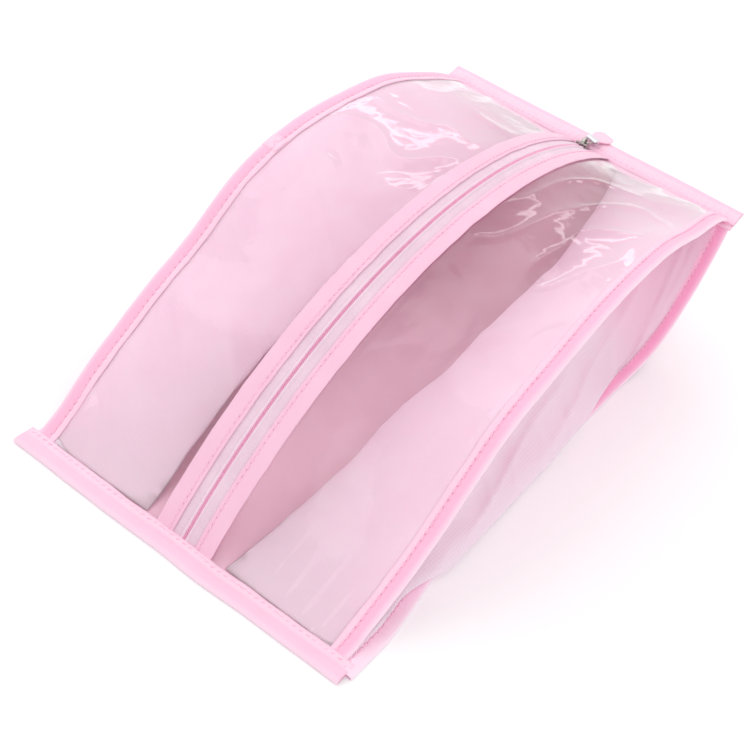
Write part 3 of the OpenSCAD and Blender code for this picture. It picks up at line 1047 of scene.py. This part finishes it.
def swept_bar(name, path, half_w, half_t, material):
    """A flat bar with a rectangular section along a path in the YZ plane, half_w a function."""
    path = np.array(path)
    way = unit(np.gradient(path, axis=0))
    verts, faces, last = [], [], len(path) - 1
    for i, ((y, z), (ty, tz)) in enumerate(zip(path, way)):
        w = half_w(i / last)
        for x, n in ((-w, -half_t), (w, -half_t), (w, half_t), (-w, half_t)):
            verts.append((x, y - tz * n, z + ty * n))
    for i in range(last):
        for j in range(4):
            a, b = 4 * i + j, 4 * i + (j + 1) % 4
            faces.append((a, b, b + 4, a + 4))
    faces += [(3, 2, 1, 0), tuple(4 * last + j for j in range(4))]
    return mesh_piece(name, verts, faces, material)


def rounded(front_half, rear_half, front, rear, radius, steps):
    """A closed outline from front to rear, with its four corners rounded."""
    corners = [(front_half, front), (rear_half, rear), (-rear_half, rear), (-front_half, front)]
    outline = []
    for (cx, cy), turn in zip(corners, (-90, 0, 90, 180)):
        ox = cx - math.copysign(radius, cx)
        oy = cy + (radius if cy == front else -radius)
        for i in range(steps + 1):
            a = math.radians(turn + 90 * i / steps)
            outline.append((ox + radius * math.cos(a), oy + radius * math.sin(a)))
    return outline


def slider():
    """Two plates round the coils with their side lips, and the bridge that carries the pull."""
    placed = local_frame()
    outline = rounded(4.2 * MM, 3.7 * MM, -5 * MM, 5 * MM, 1.3 * MM, 10)
    pieces = [
        prism("slider_top_plate", outline, 1.35 * MM, 2.5 * MM, NICKEL),
        prism("slider_under_plate", outline, -3.1 * MM, -1.95 * MM, NICKEL),
    ]
    for side, sign in MIRRORED.items():
        lip = [(sign * 3.35 * MM, -3 * MM), (sign * 4.1 * MM, -3 * MM),
               (sign * 4.1 * MM, 2.4 * MM), (sign * 3.35 * MM, 2.4 * MM)]
        if sign < 0:
            lip.reverse()
        pieces.append(prism("slider_lip_" + side, lip, 0.25 * MM, 1.5 * MM, NICKEL))
    arch = [(3.3 * MM * math.cos(a), 2.1 * MM + 3.3 * MM * math.sin(a))
            for a in np.linspace(math.radians(-6), math.radians(186), 33)]
    bridge = swept_bar("slider_bridge", arch, lambda k: (1.0 + 0.45 * (2 * k - 1) ** 4) * MM,
                       0.5 * MM, NICKEL)
    for piece in pieces:
        finish_solid(piece, placed, 0.32 * MM)
    finish_solid(bridge, placed, 0.2 * MM)
    for piece in (*pieces, bridge):
        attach(piece, "slider")
        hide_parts("slider_body")


WIRE_SIDES = 14


def wire_loop(half_w, length, corner, radius):
    """A closed loop of round wire with rounded corners, in the pull's frame."""
    outline = rounded(half_w, half_w, 0, length, corner, 8)
    points = np.array([(x, y, 0) for x, y in outline])
    way = unit(np.roll(points, -1, axis=0) - np.roll(points, 1, axis=0))
    side = np.cross(way, (0, 0, 1))
    turns = np.arange(WIRE_SIDES) * 2 * math.pi / WIRE_SIDES
    rings = (
        points[:, None]
        + radius * np.cos(turns)[None, :, None] * side[:, None]
        + radius * np.sin(turns)[None, :, None] * np.array((0, 0, 1.0))
    )
    index = np.arange(rings.size // 3).reshape(rings.shape[:2])
    across = np.roll(index, -1, axis=1)
    corners = [index, across, np.roll(across, -1, axis=0), np.roll(index, -1, axis=0)]
    faces = np.stack(corners, axis=-1).reshape(-1, 4).tolist()
    return mesh_piece("pull_wire", rings.reshape(-1, 3), faces, NICKEL)


def pull():
    """Wire loop, folded clasp and the satin tab, wider at its free end."""
    placed = pull_frame()
    wire = wire_loop(2.9 * MM, 6.4 * MM, 1.2 * MM, 0.55 * MM)
    wire.data.transform(placed)
    layer = [(10, 0.95), (7, 0.95), (6.3, 0.85), (5.9, 0.5)]
    folded = [(y * MM, -z * MM) for y, z in layer] + [(5.75 * MM, 0)]
    folded += [(y * MM, z * MM) for y, z in reversed(layer)]
    clasp = swept_bar("pull_clasp", folded, lambda k: 4.8 * MM, 0.25 * MM, CLASP)
    finish_solid(clasp, placed, 0.12 * MM)
    half = [(4.6, 7.4), (5.1, 11.5), (7.3, 15), (7.3, 20), (4.9, 23)]
    outline = [(x * MM, y * MM) for x, y in reversed(half)]
    outline += [(-x * MM, y * MM) for x, y in half]
    tab = prism("pull_tab_body", outline, -0.55 * MM, 0.55 * MM, PULL)
    finish_solid(tab, placed, 0.35 * MM)
    for piece, node, slot in ((wire, "pull_link", "nickel"), (clasp, "pull_link", "nickel"),
                              (tab, "pull_tab", "pull")):
        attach(piece, "pull")
        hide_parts(node)


# ---- studio

CAMERA_PLACE = (0.2832, -0.4969, 0.5448)
CAMERA_TURNS = (28.2, 41.45, 12.9)  # azimuth, elevation and roll, in degrees
CAMERA_LENS = 63.33  # in millimetres
LIGHTS_AIM = (0, 0.06, 0.03)


def camera():
    """From the front right and above, turned a little."""
    azimuth, elevation, roll = (math.radians(a) for a in CAMERA_TURNS)
    lens = bpy.data.cameras.new("camera")
    lens.lens, lens.sensor_width = CAMERA_LENS, 36
    lens.clip_start = 0.01
    body = bpy.data.objects.new("camera", lens)
    body.matrix_world = (
        Matrix.Translation(CAMERA_PLACE)
        @ Matrix.Rotation(azimuth, 4, "Z")
        @ Matrix.Rotation(math.pi / 2 - elevation, 4, "X")
        @ Matrix.Rotation(roll, 4, "Z")
    )
    bpy.context.collection.objects.link(body)
    bpy.context.scene.camera = body


def area_light(name, place, size, power):
    """A soft box, size wide and high, aimed at the middle of the bag."""
    data = bpy.data.lights.new(name, "AREA")
    data.shape = "RECTANGLE"
    data.energy, data.size, data.size_y = power, *size
    lamp = bpy.data.objects.new(name, data)
    lamp.location = place
    aim = Vector(LIGHTS_AIM) - Vector(place)
    lamp.rotation_euler = aim.to_track_quat("-Z", "Y").to_euler()
    bpy.context.collection.objects.link(lamp)


def studio():
    """A white floor under an even white sky, with soft boxes that put streaks on the film."""
    scene = bpy.context.scene
    scene.view_settings.view_transform = "Standard"
    world = bpy.data.worlds.new("studio")
    world.use_nodes = True
    sky = world.node_tree.nodes["Background"]
    sky.inputs["Color"].default_value = (1, 1, 1, 1)
    sky.inputs["Strength"].default_value = 0.92
    scene.world = world
    area_light("key", (-0.85, 0.35, 1.2), (1.5, 1.5), 5.2)
    area_light("fill", (0.9, -0.7, 1.1), (1.4, 1.4), 4.0)
    area_light("strip", (-0.25, 1.25, 0.95), (1.4, 0.12), 1.8)
    floor_paint = Shader("floor", (0.97, 0.97, 0.97), 0.9)
    half = 4.0
    verts = [(-half, -half, 0), (half, -half, 0), (half, half, 0), (-half, half, 0)]
    floor = mesh_piece("floor", verts, [(0, 1, 2, 3)], floor_paint.material)


for side in MIRRORED:
    window(side)
    top_binding(side)
    gusset(side)
    base_binding(side)
    facing(side)
    zip_half(side)
base_cloth()
tape_joint()
end_binding("front_binding", "binding_front", rear=False, seed=21)
end_binding("rear_binding", "binding_rear", rear=True, seed=33)
zip_ends()
slider()
pull()
camera()
studio()
